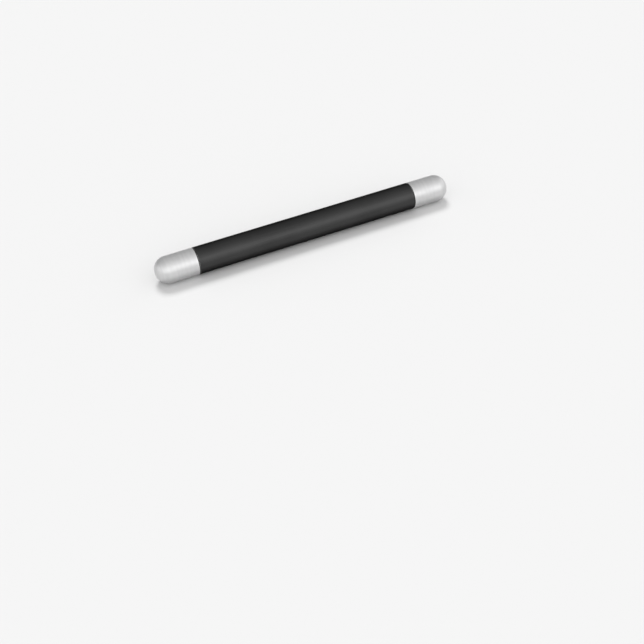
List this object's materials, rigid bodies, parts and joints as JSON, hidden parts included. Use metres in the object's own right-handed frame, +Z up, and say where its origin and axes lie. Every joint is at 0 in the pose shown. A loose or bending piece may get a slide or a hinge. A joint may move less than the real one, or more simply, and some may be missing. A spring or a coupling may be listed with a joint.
{
  "type": "magic wand",
  "caption": "Round black stage wand with a smooth tubular shaft and a rounded bright metal tip that unscrews from each end.",
  "frame": {"origin": "middle of the wand, on its axis", "axes": "+X along the wand towards the right tip, +Z up as it lies on a table; the left tip is at -X"},
  "size_m": [0.29, 0.025, 0.025],
  "materials": {
    "black_anodised": "satin",
    "tip_silver": "satin",
    "plug_metal": "satin",
    "core_plastic": "matte",
    "washer_black": "matte",
    "seal_rubber": "matte"
  },
  "bodies": {
    "shaft": {"shaft_tube": "black_anodised", "left_end_plug": "plug_metal", "left_seat_washer": "washer_black", "right_end_plug": "plug_metal", "right_seat_washer": "washer_black"},
    "left_seal": {"left_o_ring": "seal_rubber"},
    "left_tip": {"left_tip_core": "core_plastic", "left_tip_cap": "tip_silver"},
    "right_seal": {"right_o_ring": "seal_rubber"},
    "right_tip": {"right_tip_core": "core_plastic", "right_tip_cap": "tip_silver"}
  },
  "joints": [
    {"name": "left_tip_travel", "type": "slide", "parent": "shaft", "child": "left_seal", "axis": [-1, 0, 0], "range_m": [0, 0.016]},
    {"name": "left_tip_turn", "type": "hinge", "parent": "left_seal", "child": "left_tip", "pos_m": [-0.107, 0, 0], "axis": [-1, 0, 0], "range_deg": [0, 2880]},
    {"name": "right_tip_travel", "type": "slide", "parent": "shaft", "child": "right_seal", "axis": [1, 0, 0], "range_m": [0, 0.016]},
    {"name": "right_tip_turn", "type": "hinge", "parent": "right_seal", "child": "right_tip", "pos_m": [0.107, 0, 0], "axis": [1, 0, 0], "range_deg": [0, 2880]}
  ],
  "couplings": [
    {"joint": "left_tip_travel", "follows": "left_tip_turn", "m_per_rad": 0.00031831},
    {"joint": "right_tip_travel", "follows": "right_tip_turn", "m_per_rad": 0.00031831}
  ]
}
